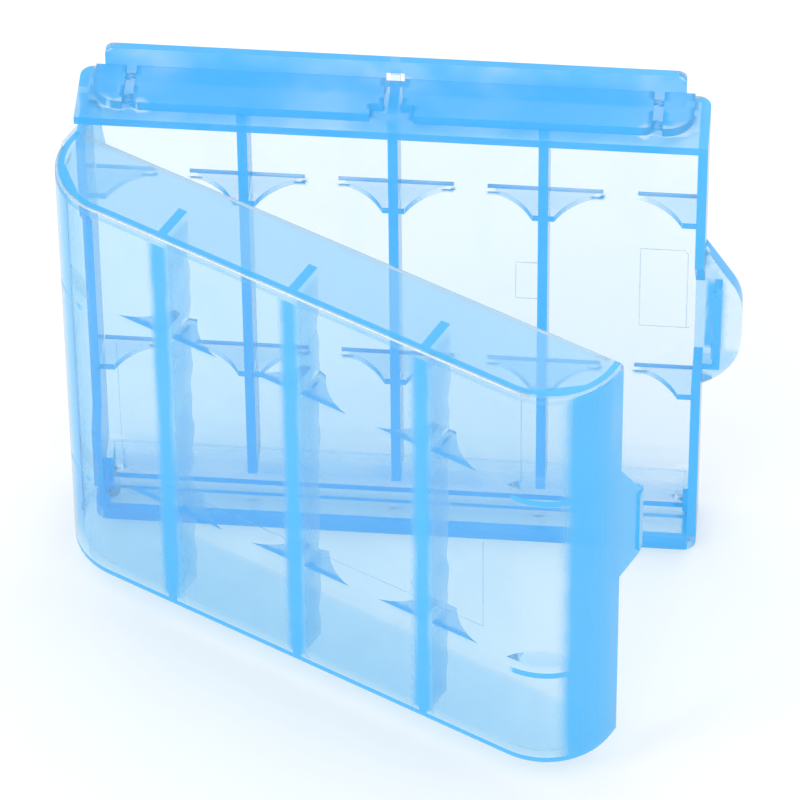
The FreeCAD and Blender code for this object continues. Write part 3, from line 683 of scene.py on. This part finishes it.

# %% [markdown]
# ## The finish of fine lines
#
# The bright rim, the fillets and the witness lines are the same polypropylene, but so fine that
# only their brightness shows, and the rim's white is a painted highlight. The real ones come and go
# along their length, so noise breaks up their cover: clouds of 6 mm on the rim, 8 mm on the fillets
# and 4 mm on the witness lines.


# %% Finish of the rim, the fillets and the witness lines
def fine_line(name, colour, cover, size, sheen):
    """Build a finish for a fine line: its colour, broken up by noise of a size in millimetres."""
    material, tree = empty_material(name)
    place = node(tree, "TexCoord").outputs["Object"]
    patchy = node(tree, "TexNoise", {"Scale": 1 / (size * MM), "Detail": 3.0},
                  {"Vector": place}).outputs["Fac"]
    share = node(tree, "MapRange",
                 {"From Min": 0.35, "From Max": 0.65, "To Min": cover * 0.55, "To Max": cover},
                 {"Value": patchy}).outputs["Result"]
    through = node(tree, "BsdfTransparent").outputs[0]
    front = node(tree, "BsdfDiffuse", {"Color": linear(colour)}).outputs[0]
    behind = node(tree, "BsdfTranslucent", {"Color": linear(colour)}).outputs[0]
    own = node(tree, "MixShader", {0: 0.5}, {1: front, 2: behind}).outputs[0]
    body = node(tree, "MixShader", {}, {0: share, 1: through, 2: own}).outputs[0]
    gloss = node(tree, "BsdfGlossy", {"Roughness": 0.3}).outputs[0]
    surface = node(tree, "MixShader", {0: sheen}, {1: body, 2: gloss}).outputs[0]
    node(tree, "OutputMaterial", {}, {"Surface": surface})
    print("%s: %d nodes" % (name, len(tree.nodes)))
    return material


# The rim's white is a painted highlight, mixed with its real gloss
for piece, name, colour, cover, size, sheen in (
        (rim_highlight_bead, "polished_rim_painted_highlight", "#FFFFFF", 0.6, 6, 0.35),
        (seat_fillets, "polypropylene_seat_fillet", "#6CCBFF", 0.75, 8, 0.05),
        (lid_witness, "mould_witness_lid_witness_lines", "#79BDE8", 0.32, 4, 0.04),
        (tray_witness, "mould_witness_tray_witness_lines", "#9CC9DE", 0.32, 4, 0.04)):
    piece.data.materials.append(fine_line(name, colour, cover, size, sheen))

# %% [markdown]
# ## Floor and room
#
# The picture has a plain white ground, with only a faint shadow. A large sheet of matt paper in an
# even white room gives that.

# %% Floor and room
FLOOR_REACH = 3
floor_mesh = bpy.data.meshes.new("floor")
floor_mesh.from_pydata([(x, y, 0) for x, y in (
    (-FLOOR_REACH, -FLOOR_REACH), (FLOOR_REACH, -FLOOR_REACH),
    (FLOOR_REACH, FLOOR_REACH), (-FLOOR_REACH, FLOOR_REACH))], [], [(0, 1, 2, 3)])
floor = bpy.data.objects.new("floor", floor_mesh)
bpy.context.scene.collection.objects.link(floor)
paper = bpy.data.materials.new("matt_white_paper")
paper.use_nodes = True
paper_shader = paper.node_tree.nodes["Principled BSDF"]
paper_shader.inputs["Base Color"].default_value = linear("#FBFBFB")
paper_shader.inputs["Roughness"].default_value = 0.9
floor_mesh.materials.append(paper)

world = bpy.data.worlds.new("white_room")
bpy.context.scene.world = world
world.use_nodes = True
room = world.node_tree.nodes["Background"]
room.inputs["Color"].default_value = (1, 1, 1, 1)
room.inputs["Strength"].default_value = 1.0
print("floor %d m wide" % (2 * FLOOR_REACH))

# %% [markdown]
# ## Lamps
#
# One soft lamp stands in front, high on the left, and a wider one behind. They draw the shine on
# the lid's ends, and, with the painted white beads, the bright lines along the top edges. The walls
# lie behind one another, so sight is let through many clear surfaces before it stops.


# %% Lamps
CASE_MIDDLE = Vector((0, -0.01, 0.04))


def soft_lamp(name, place, size, power):
    """Add a square lamp, its size in metres and power in watts, aimed at the case's middle."""
    data = bpy.data.lights.new(name, "AREA")
    data.size = size
    data.energy = power
    lamp = bpy.data.objects.new(name, data)
    bpy.context.scene.collection.objects.link(lamp)
    lamp.location = place
    way = CASE_MIDDLE - Vector(place)
    lamp.rotation_euler = way.to_track_quat("-Z", "Y").to_euler()
    print("%s: %.2f m from the case, %.1f W" % (name, way.length, power))


soft_lamp("key_lamp", (-0.62, -0.42, 0.75), 0.25, 1.6)
soft_lamp("back_lamp", (0.3, 0.8, 0.7), 0.6, 1.0)

scene = bpy.context.scene
scene.view_settings.view_transform = "Standard"
scene.cycles.transparent_max_bounces = 64
scene.cycles.max_bounces = 16
scene.cycles.caustics_reflective = False
